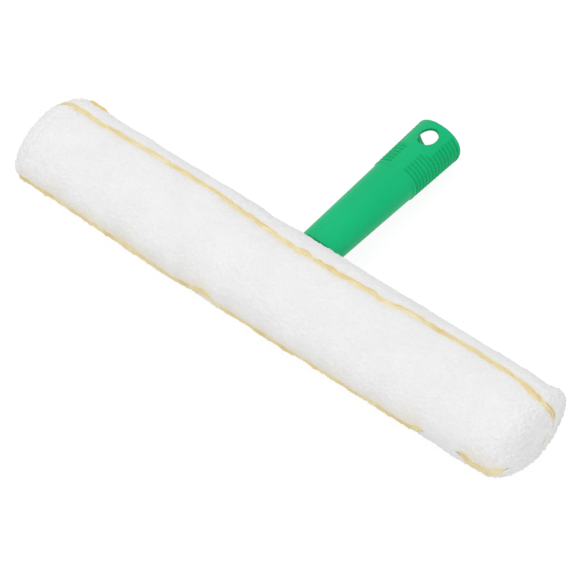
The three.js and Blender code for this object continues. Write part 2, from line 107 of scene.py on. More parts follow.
# Grip: its ends, half sizes at the sleeve and how much they grow, squareness and rounded ends
GRIP_START, GRIP_END, GRIP_X = 33.085, 148.2, -0.32
GRIP_WIDTH, GRIP_HEIGHT, GRIP_WIDENS, GRIP_RISES = 12.75, 10.4, 2.5, 1.8
GRIP_POWER, START_ROUND, RIM_Y, RIM_ROUND = 2.2, 1.2, 146.45, 1.4
STEP_Y, STEP_RISE, STEP_LENGTH = 103.4, 0.5, 0.9
RIB_PITCH, RIB_COUNT, RIB_DEPTH, RIB_RINGS = 2.9, 14, 0.95, 16
PANEL_WIDTH, HOLE_PANEL_WIDER, HOLE_PANEL_WIDER_LEFT, HOLE_PANEL_START = 4.4, 5.0, 2.0, 122.4
RIM_DROP, RIM_SLANT = 2.2, 0.032
HOLE_X, HOLE_Y, HOLE_WIDTH, HOLE_LENGTH, HOLE_ROUND = -0.35, 134.95, 5.6, 7.25, 0.55

# How far cutters reach, plain white, and where a colour mix node has its colours
FAR = 40.0
WHITE = (1, 1, 1, 1)
MIX_FIRST, MIX_SECOND, MIX_RESULT = 6, 7, 2

# Tables of random numbers for the noise, one for each use
rng = np.random.default_rng(11)
GRID = 32
TABLES = rng.random((11, GRID, GRID, GRID, 4))
TUFT, SMALL_TUFT, LUMP, WAVE, GRAIN, LEAN, YARN, EDGE, BLOTCH, KNIT, HEM = range(11)


# Camera, light and stage
def camera():
    around, above = math.radians(38.63), math.radians(51.35)
    distance = 2.0
    back = Vector((
        math.sin(around) * math.cos(above),
        -math.cos(around) * math.cos(above),
        math.sin(above)))
    right = Vector((math.cos(around), math.sin(around), 0))
    up = back.cross(right)
    target = Vector((0, 0, 0.0232)) + right * 0.0034 - up * 0.00285
    cam = bpy.data.objects.new("camera", bpy.data.cameras.new("camera"))
    bpy.context.scene.collection.objects.link(cam)
    cam.data.lens = 223.9
    turned = Matrix((right, up, back)).transposed().to_4x4()
    cam.matrix_world = Matrix.Translation(target + back * distance) @ turned
    bpy.context.scene.camera = cam


def node_tree(owner):
    owner.use_nodes = True
    tree = owner.node_tree
    tree.nodes.clear()
    return tree


def add(tree, kind, inputs=None, output=0, **values):
    """The output of a new node; its inputs are plain values or the outputs of other nodes."""
    node = tree.nodes.new(kind)
    for name, value in values.items():
        setattr(node, name, value)
    for key, value in (inputs or {}).items():
        if hasattr(value, "is_output"):
            tree.links.new(value, node.inputs[key])
        else:
            node.inputs[key].default_value = value
    return node.outputs[output] if node.outputs else node


def shown_or_lit(tree, output, shown, lit):
    """Send one shader to the eye, also by gloss or through glass, and another to what it lights."""
    path = add(tree, "ShaderNodeLightPath").node
    seen = path.outputs["Is Camera Ray"]
    for ray in ("Is Glossy Ray", "Is Transmission Ray"):
        seen = add(tree, "ShaderNodeMath", {0: seen, 1: path.outputs[ray]}, operation="MAXIMUM")
    add(tree, output, {0: add(tree, "ShaderNodeMixShader", {0: seen, 1: lit, 2: shown})})


def world():
    sky = bpy.data.worlds.new("studio")
    bpy.context.scene.world = sky
    tree = node_tree(sky)
    light = add(tree, "ShaderNodeBackground", {"Color": WHITE, "Strength": 0.78})
    white = add(tree, "ShaderNodeBackground", {"Color": WHITE, "Strength": 1.0})
    shown_or_lit(tree, "ShaderNodeOutputWorld", white, light)


def floor():
    """The white floor, which keeps a faint shadow of the object."""
    mesh = bpy.data.meshes.new("floor")
    size, drop = 4.0, 0.0003
    outline = [(-size, -size, 0), (size, -size, 0), (size, size, 0), (-size, size, 0)]
    mesh.from_pydata(outline, [], [(0, 1, 2, 3)])
    plane = bpy.data.objects.new("floor", mesh)
    plane.location.z = -drop
    bpy.context.scene.collection.objects.link(plane)
    made = bpy.data.materials.new("floor")
    tree = node_tree(made)
    plain = add(tree, "ShaderNodeBsdfDiffuse", {"Color": (0.8, 0.8, 0.8, 1)})
    glow = add(tree, "ShaderNodeEmission", {"Color": WHITE, "Strength": 0.9})
    veil = add(tree, "ShaderNodeBsdfDiffuse", {"Color": (0.14, 0.14, 0.14, 1)})
    both = add(tree, "ShaderNodeAddShader", {0: glow, 1: veil})
    shown_or_lit(tree, "ShaderNodeOutputMaterial", both, plain)
    mesh.materials.append(made)


def lamp(name, place, aim, size, power):
    data = bpy.data.lights.new(name, "AREA")
    data.size = size
    data.energy = power
    lit = bpy.data.objects.new(name, data)
    lit.location = place
    direction = Vector(aim) - Vector(place)
    lit.rotation_euler = direction.to_track_quat("-Z", "Y").to_euler()
    lit.visible_camera = False
    bpy.context.scene.collection.objects.link(lit)


# Noise
def lattice(points, size):
    """The cell of each point in a lattice of that size, and its place there in cells."""
    where = points / size + 100.0
    return where, np.floor(where).astype(int)


def corners(cell, table):
    at = np.mod(cell, GRID)
    return TABLES[table, at[..., 0], at[..., 1], at[..., 2]]


def noise(points, size, table):
    """Smooth noise from -1 to 1 at points, with lumps of about that size."""
    where, cell = lattice(points, size)
    part = where - cell
    part = part * part * (3 - 2 * part)
    total = 0
    for step in np.ndindex(2, 2, 2):
        a, b, c = (part[..., i] if far else 1 - part[..., i] for i, far in enumerate(step))
        total = total + a * b * c * corners(cell + step, table)[..., 3]
    return 2 * total - 1


def tufts(points, size, table):
    """Height from 0 to 1 of tufts that stand about that far apart."""
    where, cell = lattice(points, size)
    best = np.full(points.shape[:-1], 9.0)
    high = np.zeros(points.shape[:-1])
    for step in np.ndindex(3, 3, 3):
        near = cell + step - 1
        values = corners(near, table)
        gap = np.sqrt((((near + values[..., :3]) - where) ** 2).sum(-1))
        closer = gap < best
        best = np.where(closer, gap, best)
        high = np.where(closer, values[..., 3], high)
    return np.clip(1 - best / 0.95, 0, 1) ** 0.8 * (0.6 + 0.4 * high)


# Meshes
def to_world(points):
    points = np.asarray(points, float)
    turned = points[..., :1] * AXIS_X + points[..., 1:2] * AXIS_Y + points[..., 2:3] * AXIS_Z
    return ORIGIN + turned / 1000


def volume(rings):
    """Signed volume of a skin over rings, for the direction of its faces."""
    p = rings - rings.reshape(-1, 3).mean(0)
    a, b = p[:-1], p[1:]
    a2, b2 = np.roll(a, -1, axis=1), np.roll(b, -1, axis=1)
    return (np.cross(a, b) * b2).sum() + (np.cross(a, b2) * a2).sum()


def skin(name, rings, smooth=True):
    """A closed mesh over rings of points in millimetres, capped at both ends."""
    rings = np.asarray(rings, float)
    count, around = rings.shape[:2]
    if volume(rings) < 0:
        rings = rings[:, ::-1]
    index = np.arange(count * around).reshape(count, around)
    low, high = index[:-1], index[1:]
    quads = np.stack([low, high, np.roll(high, -1, axis=1), np.roll(low, -1, axis=1)], -1)
    loops = np.concatenate([quads.ravel(), index[0], index[-1][::-1]])
    starts = np.append(np.arange(0, quads.size + 1, 4), quads.size + around)
    mesh = bpy.data.meshes.new(name)
    mesh.vertices.add(count * around)
    mesh.vertices.foreach_set("co", to_world(rings).astype(np.float32).ravel())
    mesh.loops.add(len(loops))
    mesh.loops.foreach_set("vertex_index", loops.astype(np.int32))
    mesh.polygons.add(len(starts))
    mesh.polygons.foreach_set("loop_start", starts.astype(np.int32))
    mesh.update(calc_edges=True)
    mesh.validate()
    if smooth:
        mesh.polygons.foreach_set("use_smooth", np.ones(len(mesh.polygons), bool))
    shown = bpy.data.objects.new(name, mesh)
    bpy.context.scene.collection.objects.link(shown)
    return shown


def mark(thing, name, values, rings):
    """Keep a value for each point of a skin over these rings, for its material."""
    if volume(rings) < 0:
        values = values[:, ::-1]
    attribute = thing.data.attributes.new(name, "FLOAT", "POINT")
    attribute.data.foreach_set("value", np.ascontiguousarray(values, np.float32).ravel())


def cut(thing, tool, operation="DIFFERENCE"):
    """Cut a tool out of a thing, or join it on; the tool goes."""
    modifier = thing.modifiers.new("cut", "BOOLEAN")
    modifier.operation = operation
    modifier.object = tool
    modifier.solver = "MANIFOLD"
    bpy.context.view_layer.update()
    graph = bpy.context.evaluated_depsgraph_get()
    result = thing.evaluated_get(graph)
    mesh = bpy.data.meshes.new_from_object(result, preserve_all_data_layers=True, depsgraph=graph)
    thing.modifiers.remove(modifier)
    if len(mesh.polygons) == 0:
        raise RuntimeError(f"{thing.name}: nothing left after {tool.name}")
    thing.data = mesh
    bpy.data.objects.remove(tool)
    return thing


def round_shading(thing, angle):
    """Smooth shading, with edges sharper than this angle kept sharp."""
    mesh = thing.data
    mesh.polygons.foreach_set("use_smooth", np.ones(len(mesh.polygons), bool))
    mesh.set_sharp_from_angle(angle=math.radians(angle))
    return thing


def stadium(half_long, half_short, steps=20):
    """Outline points of a shape with straight long sides and half-round ends."""
    straight = half_long - half_short
    turn = np.linspace(-np.pi / 2, np.pi / 2, steps)
    right = np.stack([straight + half_short * np.cos(turn), half_short * np.sin(turn)], -1)
    return np.concatenate([right, -right])


def circle(count, power=1.0):
    """Points round a circle of radius 1, or round one that a power under 1 makes squarer."""
    turn = np.linspace(0, 2 * np.pi, count, endpoint=False)
    points = np.stack([np.cos(turn), np.sin(turn)], -1)
    return np.sign(points) * np.abs(points) ** power


def rectangle(box, room=0.0):
    """Outline points of a box given by its lower and upper edges, with room around it."""
    left, right, low, high = box[0] - room, box[1] + room, box[2] - room, box[3] + room
    return np.array([[left, low], [right, low], [right, high], [left, high]], float)


def outline_at(outline, axis, place):
    """An outline's points, square to an axis, at a place along it."""
    return np.insert(outline, axis, place, axis=1)


def prism(name, outline, axis, start, end):
    """A straight solid along an axis: 0 for X, 1 for Y, 2 for Z."""
    ends = [outline_at(outline, axis, place) for place in (start, end)]
    return skin(name, ends, smooth=False)


# The sleeve's form
def bump(x, centre, width):
    return np.exp(-(((x - centre) / width) ** 2))


def rise(x, start, end):
    t = np.clip((x - start) / (end - start), 0, 1)
    return t * t * (3 - 2 * t)


def wrapped(angle):
    return np.arctan2(np.sin(angle), np.cos(angle))


def oval(angle):
    across = np.hypot(HALF_HEIGHT * np.cos(angle), HALF_WIDTH * np.sin(angle))
    return HALF_WIDTH * HALF_HEIGHT / across


def about_axis(x, r, angle):
    """Points at a place along the sleeve, a distance from its axis and an angle about it."""
    return np.stack(np.broadcast_arrays(x, r * np.cos(angle), r * np.sin(angle)), -1)


# Where each seam runs: places along the sleeve and its angle about the axis there, in degrees
SEAM_PATHS = [
    ([-180, -175, -173, -169, -163, -140, -126, -114, -100, -75, -57, -51, -38, -28, -14, -4, 6, 18,
      27, 40, 52, 66, 75, 90, 100, 110, 123, 136, 144, 153, 160, 166, 171, 175, 178, 180],
     [92, 76, 67, 60, 57.5, 57.2, 57.3, 54.2, 53.4, 52.4, 53.4, 57.6, 58.2, 61.7, 64, 65.8, 64.4, 65.8,
      63.5, 62.7, 61.4, 60.2, 56.4, 54.7, 55.2, 52.7, 51.2, 53, 53.7, 56, 60.2, 64, 63.5, 51, 30, 12]),
    ([-180, -164, -155, -146, -128, -115, -105, -92, -83, -75, -67, -50, -43, -35, -30, -26, -21, 0,
      75, 107, 113, 117, 122, 130, 149, 153, 161, 167, 176, 180],
     [187, 188, 187, 188, 189, 190, 188.5, 189, 188.5, 191, 194, 195, 191, 187, 185, 187, 194, 195,
      194.5, 194, 193, 189.5, 184, 181, 181.5, 184, 186.5, 186, 183, 180]),
    ([-180, -150, -110, -60, -10, 40, 90, 130, 165, 180],
     [297, 298, 296, 297.5, 299, 296.5, 297, 298.5, 297, 296]),
]

# Where the sleeve stands proud of its oval or lies under it: place along it, angle in degrees,
# reach along it, spread in degrees, and height
SWELLS = [
    (176, 12, 8, 22, 4.6),
    (171, 208, 8, 22, -0.9),
    (163, 226, 12, 20, -3.0),
    (134, 210, 12, 12, -1.1),
    (163, 22, 9, 12, -1.0),
    (-175, 78, 8, 22, 2.0),
    (-173, 42, 8, 16, 0.3),
    (-148, 211, 30, 16, -2.0),
    (-150, 191, 34, 14, -0.8),
    (-108, 211, 20, 16, -1.0),
    (-162, 213, 9, 18, -1.0),
    (-68, 204, 16, 14, 0.6),
    (-14, 204, 12, 14, 0.5),
    (24, 204, 12, 14, 0.5),
    (-148, 22, 12, 14, -0.5),
    (-24, 20, 12, 14, -1.0),
    (2, 20, 12, 14, -0.3),
    (-80, 20, 60, 14, -0.5),
    (70, 20, 45, 14, -0.5),
]


def seam_angle(seam, x):
    """Where a seam runs, with the wander of a sewn line."""
    x = np.asarray(x, float)
    places, angles = SEAM_PATHS[seam]
    shifts = (-2, -1, 0, 1, 2)
    path = sum(np.interp(x + shift, places, angles) for shift in shifts) / len(shifts)
    return np.radians(path + 0.35 * np.sin(x / 4.1 + seam) + 0.25 * np.sin(x / 2.3 + 2 * seam))


def covered(seam, x):
    """From 0 to 1, where pile lies over a seam."""
    if seam == FRONT:
        return rise(x, 118, 126) * (1 - rise(x, 145, 152))
    return 0.0


def radius(x, angle):
    """Distance from the axis to the roots of the pile's tufts."""
    base = oval(angle)
    groove = 0
    for _, seam in SEAMS:
        turn = wrapped(angle - seam_angle(seam, x))
        depth = GROOVE_DEPTHS[seam] * (1 - covered(seam, x))
        groove = groove + depth * np.exp(-((turn * base / GROOVE_REACH) ** 2))
    swell = 0
    for centre, at, reach, spread, height in SWELLS:
        turn = np.degrees(wrapped(angle - math.radians(at)))
        swell = swell + height * np.exp(-(((x - centre) / reach) ** 2) - (turn / spread) ** 2)
    return base - groove + swell


def normals(grid):
    n = np.cross(np.gradient(grid, axis=0), np.gradient(grid, axis=1))
    n /= np.maximum(np.linalg.norm(n, axis=-1, keepdims=True), 1e-9)
    out = grid * np.array([0, 1, 1])
    flip = np.sign((n * out).sum(-1, keepdims=True))
    flip[flip == 0] = 1
    return n * flip


def pile_height(points, x, angle):
    """How far the pile stands off the form at each point, in millimetres."""
    low = np.clip(-np.sin(angle) * 0.5 + 0.5, 0, 1)
    ends = rise(np.abs(x), 150, 172)
    neck = bump(x, 0, 14) * bump(np.degrees(wrapped(angle)), 20, 14)
    strength = 0.55 + 0.35 * low + 0.75 * ends + 0.5 * neck
    coarse = tufts(points, TUFT_SIZE, TUFT) - 0.45
    fine = tufts(points, SMALL_TUFT_SIZE, SMALL_TUFT) - 0.4
    broad = (0.28 + 0.15 * low) * noise(points, LUMP_SIZE, LUMP) + 0.3 * noise(points, WAVE_SIZE, WAVE)
    grain = noise(points, GRAIN_SIZE, GRAIN)
    height = -0.1 + broad + strength * (coarse + 0.75 * fine) + 0.14 * grain
    from_top = np.abs(np.degrees(wrapped(angle)) - 90)
    sewn_hinge = (1 - rise(np.abs(x - MOUTH), 1.0, 3.0)) * (1 - rise(from_top, 35, 55))
    return height - sewn_hinge * np.maximum(height + 0.05, 0)


def above_table(points):
    """Pile that would go through the table lies flat on it."""
    clearance = 0.02
    up = points[..., 1] * AXIS_Y[2] + points[..., 2] * AXIS_Z[2] + ORIGIN[2] * 1000
    lift = np.maximum(clearance - up, 0)
    points[..., 1] += lift * AXIS_Y[2]
    points[..., 2] += lift * AXIS_Z[2]
    return points


def piled(grid, x, angle, fade=1.0):
    """The form's points moved out to the tips of the pile, which lies down where fade is 0."""
    height = pile_height(grid, x, angle) * fade - 0.35 * (1 - fade)
    lean = 0.5 * noise(grid, LEAN_SIZE, LEAN) * rise(np.abs(x - MOUTH), 0, 3)
    out = grid + normals(grid) * height[..., None]
    out[..., 0] += lean * np.abs(height)
    return above_table(out)


def cavity(angle):
    """Distance from the axis to the wall of the space for the crossbar."""
    straight = CAVITY_WIDTH - CAVITY_HEIGHT
    c, s = np.abs(np.cos(angle)), np.abs(np.sin(angle))
    flat = CAVITY_HEIGHT / np.maximum(s, 1e-9)
    round_end = straight * c + np.sqrt(np.maximum(CAVITY_HEIGHT**2 - (straight * s) ** 2, 0))
    return np.where(flat * c <= straight, flat, round_end)


def tube_rows():
    """x and share of the radius for rows from the mouth to the closed tip."""
    x = np.arange(MOUTH, CAVITY_END, ROW_STEP)
    turn = np.linspace(np.pi / 2, TIP_TURN, DOME_ROWS)
    dome = CAVITY_END + END_ROUND * np.cos(turn)
    return np.concatenate([x, dome]), np.concatenate([np.ones_like(x), np.sin(turn)])


def flap_rows():
    """x and share of the radius for rows from the flap's inner face to its tip."""
    turn = np.linspace(np.pi / 2, TIP_TURN, DOME_ROWS)
    return MOUTH - FLAP_GAP - (END_ROUND - FLAP_GAP) * np.cos(turn), np.sin(turn)


def seam_shown(seam, x, share):
    """From 0 where the pile closes over a seam to 1 where its yarn lies bare."""
    start, end = ((0.25, 0.7), (0.7, 0.9), (0.45, 0.7))[seam]
    tip = 0.8 * bump(share, 0.06, 0.07) * (x > 0) if seam == TOP else 0
    return np.maximum(rise(share, start, end) * (1 - covered(seam, x)), tip)


def bare_width(seam, x, share, side=0):
    """Half the width of yarn left bare between the panels' pile; side tells the two panels apart."""
    where = np.stack(np.broadcast_arrays(x, 40.0 * seam, 60.0 * side), -1)
    width = 1.35 + 0.7 * noise(where, 6.5, YARN) + 0.45 * noise(where, 2.1, EDGE)
    wider = (1.15, 1.9 + 0.4 * side, 1.15)[seam]
    return np.maximum(np.clip(width, 0.5, 2.2) * wider * seam_shown(seam, x, share), 0.04)


# The plush panels
def path_length(path):
    """Length along a path up to each of its points."""
    return np.concatenate([[0], np.cumsum(np.linalg.norm(np.diff(path, axis=0), axis=1))])


def evenly(path, step):
    """Lengths at even steps along a path, and the path's points there."""
    length = path_length(path)
    even = np.arange(0, length[-1], step)
    return even, np.stack([np.interp(even, length, column) for column in path.T], -1)


def column_shares(start, stop):
    """Shares of the way round from start to stop that stand evenly along the sleeve's skin."""
    samples = 400
    angle = np.linspace(start, stop, samples)
    length = path_length(about_axis(0.0, radius(0.0, angle), angle))
    even = np.linspace(0, length[-1], int(length[-1] / COLUMN_STEP))
    return np.interp(even, length, np.linspace(0, 1, samples))


def from_ends(count):
    """How many steps each point of a row is from the row's nearer end."""
    steps = np.arange(count)
    return np.minimum(steps, steps[::-1])


def bare_angle(seam, x, share, angle, side):
    """The angle that a seam's bare yarn takes from a panel."""
    from_axis = np.maximum(share, 0.02) * radius(x, angle)
    return np.arcsin(np.clip(bare_width(seam, x, share, side) / from_axis, 0, 0.9))


def inner_skin(x, share, start, stop):
    """A panel's inner side, round the space for the crossbar and up to the yarn of its seams."""
    columns = 12
    share = np.where(x < CAVITY_END, 1.0, np.maximum(0.98 * share, 0.005))
    reach = np.maximum(share, 0.12)
    start = start + np.arcsin(np.clip(WALL_GAP / (reach * cavity(start)), 0, 0.9))
    stop = stop - np.arcsin(np.clip(WALL_GAP / (reach * cavity(stop)), 0, 0.9))
    angle = start[:, None] + (stop - start)[:, None] * np.linspace(0, 1, columns)
    from_axis = share[:, None] * (cavity(angle) + 0.05)
    return about_axis(np.minimum(x, CAVITY_END + 0.1)[:, None], from_axis, angle)


def mouth_rings(ring, angle):
    """Rings that close a panel's end at the mouth, from the middle of its wall out to its edge."""
    outer, others = ring[:len(angle)], ring[len(angle):]
    middle = 0.5 * (cavity(angle) + np.linalg.norm(outer[:, 1:], axis=1))
    turn = np.arctan2(others[:, 2], others[:, 1])
    turn = turn + 2 * np.pi * np.round((angle.mean() - turn) / (2 * np.pi))
    target = np.concatenate([
        about_axis(outer[:, 0], middle, angle),
        about_axis(others[:, 0], np.interp(turn, angle, middle), turn)])
    return np.array([ring * (1 - t) + target * t for t in (0.9, 0.75, 0.6, 0.45, 0.3, 0.15, 0.02)])


def panel(name, first, second):
    """One pile panel of the sleeve, from one seam to the next, solid down to the crossbar's space."""
    x, share = tube_rows()
    low, high = seam_angle(first, x), seam_angle(second, x)
    if second == TOP:
        low = low - 2 * np.pi
    at = column_shares(low.mean(), high.mean())
    columns = len(at)
    start = low + bare_angle(first, x, share, low, 1)
    stop = high - bare_angle(second, x, share, high, 0)
    angle = start[:, None] + (stop - start)[:, None] * at
    xs = np.broadcast_to(x[:, None], angle.shape)
    grid = about_axis(xs, share[:, None] * radius(xs, angle), angle)
    from_edge = from_ends(columns) * COLUMN_STEP
    near_first = np.arange(columns) < columns / 2
    bare = np.where(near_first, seam_shown(first, x, share)[:, None], seam_shown(second, x, share)[:, None])
    outer = piled(grid, xs, angle, 1 - 0.75 * bare * (1 - rise(from_edge, 0.0, EDGE_REACH)))
    # How far the warm tint reaches from each seam. The tint also darkens the pile, and its wide reach on
    # the top panel beside the front seam is painted shade.
    seam_halo = np.where(near_first, (3.4, 2.6, 2.4)[first], (1.5, 6.4, 2.4)[second])
    reach = seam_halo * (1 + 0.25 * noise(grid, 5.0, EDGE) + 0.4 * noise(grid, 16.0, BLOTCH))
    inner = inner_skin(x, share, low, high)
    wall = np.linspace(0, 1, 7)[1:-1][None, :, None]
    first_wall = inner[:, :1] * (1 - wall) + outer[:, :1] * wall
    last_wall = outer[:, -1:] * (1 - wall) + inner[:, -1:] * wall
    rings = np.concatenate([outer, last_wall, inner[:, ::-1], first_wall[:, ::-1]], axis=1)
    end = mouth_rings(rings[0], angle[0])
    rings = np.concatenate([end, rings])
    shown = skin(name, rings)
    warm = np.zeros(rings.shape[:2])
    warm[len(end):, :columns] = np.exp(-((from_edge / reach) ** 2)) * bare
    warm[:, columns:] = 0.6
    mark(shown, "warm", warm, rings)
    return shown


# The slit
def slit_edge(x, offset):
    """Distance of the slit's edge from its middle plane, which opens out in a corner at the mouth."""
    t = np.clip((MOUTH + CORNER_LENGTH - x) / CORNER_LENGTH, 0, 1)
    return offset + CORNER_RISE * np.sqrt(np.maximum(1 - (1 - t) ** 2, 0))


def slit_cutter():
    """What the back panel loses: the lips' room, the corners at the mouth and the binding's disc."""
    disc_radius = 8.25
    corner = np.linspace(MOUTH, MOUTH + CORNER_LENGTH, 40)
    x = np.concatenate([[MOUTH - 7.0], corner, [-100, -40, NECK_X - 0.1]])
    z = np.maximum(slit_edge(x, HEM_ROOM), LIP_ROOM)
    turn = np.linspace(np.pi / 2, 0, 24, endpoint=False)
    disc = np.stack([NECK_X + disc_radius * np.cos(turn), disc_radius * np.sin(turn)], -1)
    upper = np.concatenate([np.stack([x, z], -1), disc])
    lower = upper[::-1] * np.array([1, -1])
    outline = np.concatenate([upper, [[NECK_X + disc_radius, 0]], lower])
    return prism("slit_cutter", outline, 1, 10.0, 70.0)


def back_y(x, z):
    """Where the sleeve's back surface is, at a height from the middle plane."""
    y = HALF_WIDTH * np.sqrt(np.maximum(1 - (z / HALF_HEIGHT) ** 2, 0.01))
    for _ in range(4):
        r = radius(x, np.arctan2(z, y))
        y = np.sqrt(np.maximum(r**2 - z**2, 1.0))
    return y


def cavity_y(z):
    """Where the back wall of the crossbar's space is, at a height from the middle plane."""
    height = np.minimum(np.abs(z), CAVITY_HEIGHT)
    return CAVITY_WIDTH - CAVITY_HEIGHT + np.sqrt(np.maximum(CAVITY_HEIGHT**2 - height**2, 0.04))


def lip(name, side):
    """One pile edge of the slit, between its hem and the back panel."""
    x = np.arange(MOUTH + CORNER_LENGTH - 0.8, LIP_END, 0.5)
    low = np.minimum(slit_edge(x, HEM_ROOM) + 0.05, 5.0)
    z = low[:, None] + (LIP_EDGE - low)[:, None] * np.linspace(0, 1, 9)
    xs = np.broadcast_to(x[:, None], z.shape)
    y = back_y(xs, z)
    outer = piled(np.stack([xs, y, side * z], -1), xs, np.arctan2(side * z, y))
    inner_z = np.stack([np.full_like(low, LIP_EDGE), low], -1)
    inner = np.stack(np.broadcast_arrays(x[:, None], cavity_y(inner_z) + 0.1, side * inner_z), -1)
    return round_shading(skin(name, np.concatenate([outer, inner], axis=1)), 60)


# The yarn
def yarn_crown(across, along, pitch, lean):
    """Ridges of overlocked yarn over a strip, from 0 to 1; across runs from -1 to 1."""
    wave = 0.5 + 0.5 * np.cos(2 * np.pi * (along / pitch + lean * across))
    return wave * np.sqrt(np.maximum(1 - across**2, 0)) ** 0.7


def seam_strip(name, seam, rows, start_depth=None):
    """The sewn yarn along a seam, down to the crossbar's space or to a depth under its top."""
    x, share = rows
    mean_radius, base_half = 28, 1.4
    length = path_length(np.stack([x, mean_radius * share], -1))
    along = np.arange(0, length[-1], SEAM_STEP)
    x, share = np.interp(along, length, x), np.interp(along, length, share)
    angle = seam_angle(seam, x)
    top = share * radius(x, angle)
    if start_depth is None:
        bottom = np.where(share >= 1, cavity(angle) + 0.3, np.maximum(0.1, share * cavity(angle)))
        base_x = np.where(share < 1, np.clip(x, MOUTH - 0.2, CAVITY_END + 0.25), x)
    else:
        bottom = np.maximum(top - start_depth, 0.2)
        base_x = x
    depth = SUNK_SEAM * (1 - seam_shown(seam, x, share))
    sunk = -np.sign(x) * depth * np.sqrt(np.maximum(1 - share**2, 0))
    across = np.linspace(-1, 1, 13)
    first, second = (bare_width(seam, x, share, side)[:, None] + 0.2 for side in (0, 1))
    half = np.maximum(np.where(across < 0, first, second), 0.4)
    half = half * np.minimum(1, np.maximum(top, 0.3) / 3.0)[:, None]
    crown = yarn_crown(across, along[:, None], STITCH, 0.45)
    fuzz = noise(about_axis(x, top, angle), 1.1, YARN)[:, None]
    proud = 0.15 - 0.4 * (seam == FRONT) * (1 - rise(x, -120, -85))
    height = (top - depth * share)[:, None] + 0.12 * fuzz + STITCH_RISE * crown - 0.55 * across**2
    height = np.maximum(height + proud[:, None], bottom[:, None] + 0.05)

    def placed(at, high, sideways):
        aside = about_axis(0.0, sideways, angle[:, None] + np.pi / 2)
        return about_axis(at[:, None], high, angle[:, None]) + aside

    crest = placed(x + sunk, height, half * across)
    base = placed(base_x, bottom[:, None], np.minimum(half[:, [-1, 0]], base_half) * (1, -1))
    return skin(name, np.concatenate([above_table(crest), base], axis=1))


def hem(name, side):
    """Overlocked edge of the slit, which turns out at the mouth."""
    before = MOUTH + CORNER_LENGTH
    straight = np.arange(LIP_END, before, -SEAM_STEP)
    turn = np.linspace(0, np.pi / 2, 130)[1:]
    corner_x = before - CORNER_LENGTH * (1 - np.cos(turn))
    path = np.stack([
        np.concatenate([straight, corner_x]),
        np.concatenate([0 * straight, CORNER_RISE * np.sin(turn)])], -1)
    along, path = evenly(path, HEM_STEP)
    x, z = path[:, 0], path[:, 1] + HEM_ROOM / 2
    direction = np.stack([np.gradient(x), np.gradient(z)], -1)
    direction /= np.linalg.norm(direction, axis=1, keepdims=True)
    normal = np.stack([-direction[:, 1], direction[:, 0]], -1)
    lumpy = 0.4 * noise(np.stack([x, 0 * x, 9 * side + 0 * x], -1), 3.0, HEM)
    proud = 0.05 + (1.3 + lumpy) * rise(-x, 151, 156)
    half = (0.66 + 0.3 * rise(-x, 148, 152))[:, None]
    across = np.linspace(-1, 1, 11)
    xs = x[:, None] + normal[:, :1] * half * across
    zs = z[:, None] + normal[:, 1:] * half * across
    y = back_y(xs, zs)
    crown = yarn_crown(across, along[:, None], HEM_STITCH, 0.4)
    n_y, n_z = y / HALF_WIDTH**2, zs / HALF_HEIGHT**2
    size = np.hypot(n_y, n_z)
    height = proud[:, None] + STITCH_RISE * crown - 0.6 * across**2 - 0.25
    outer = np.stack([xs, y + height * n_y / size, side * (zs + height * n_z / size)], -1)
    base_x, base_z = xs[:, [-1, 0]], zs[:, [-1, 0]]
    base = np.stack([base_x, cavity_y(base_z) + 0.15, side * base_z], -1)
    return skin(name, np.concatenate([outer, base], axis=1))


def neck_binding():
    """The bound round end of the slit, next to the handle's neck."""
    r, half = SLIT_HALF + 1.2, 1.15
    along = np.arange(0, np.pi * r, HEM_STEP)[:, None]
    turn = along / r - np.pi / 2
    across = np.linspace(-1, 1, 9)
    from_middle = r + half * across
    xs, zs = NECK_X + from_middle * np.cos(turn), from_middle * np.sin(turn)
    crown = yarn_crown(across, along, HEM_STITCH, 0.4)
    outer = np.stack([xs, back_y(xs, zs) - 0.15 + STITCH_RISE * crown - 0.7 * across**2, zs], -1)
    base_x, base_z = xs[:, [-1, 0]], zs[:, [-1, 0]]
    base = np.stack([base_x, cavity_y(base_z) + 0.15, base_z], -1)
    return skin("neck_binding_sewn", np.concatenate([outer, base], axis=1))


def mouth_binding():
    """The bound edge round the crossbar's space at the sleeve's open end, but for the slit."""
    middle_x, width, squareness = -163.93, 2.45, 0.6
    wide, high, slit_y = 21.75, 11.75, 9.6
    outline = stadium(wide, high, 60)
    order = np.argsort(np.mod(np.arctan2(outline[:, 1], outline[:, 0]), 2 * np.pi))
    outline = outline[order]
    kept = outline[outline[:, 0] < slit_y + 0.1]
    line = np.concatenate([[[slit_y, high]], kept, [[slit_y, -high]]])
    along, path = evenly(outline_at(line, 0, middle_x), BINDING_STEP)
    direction = np.gradient(path, axis=0)
    direction /= np.linalg.norm(direction, axis=1, keepdims=True)
    side = np.cross(direction, -AXIS_X)
    c, s = circle(28, squareness).T
    reach = width / 2 * (1 + 0.07 * np.cos(2 * np.pi * along / HEM_STITCH))[:, None]
    rings = path[:, None] + side[:, None] * (c * reach)[..., None] - AXIS_X * (s * reach)[..., None]
    return skin("mouth_binding_sewn", rings)


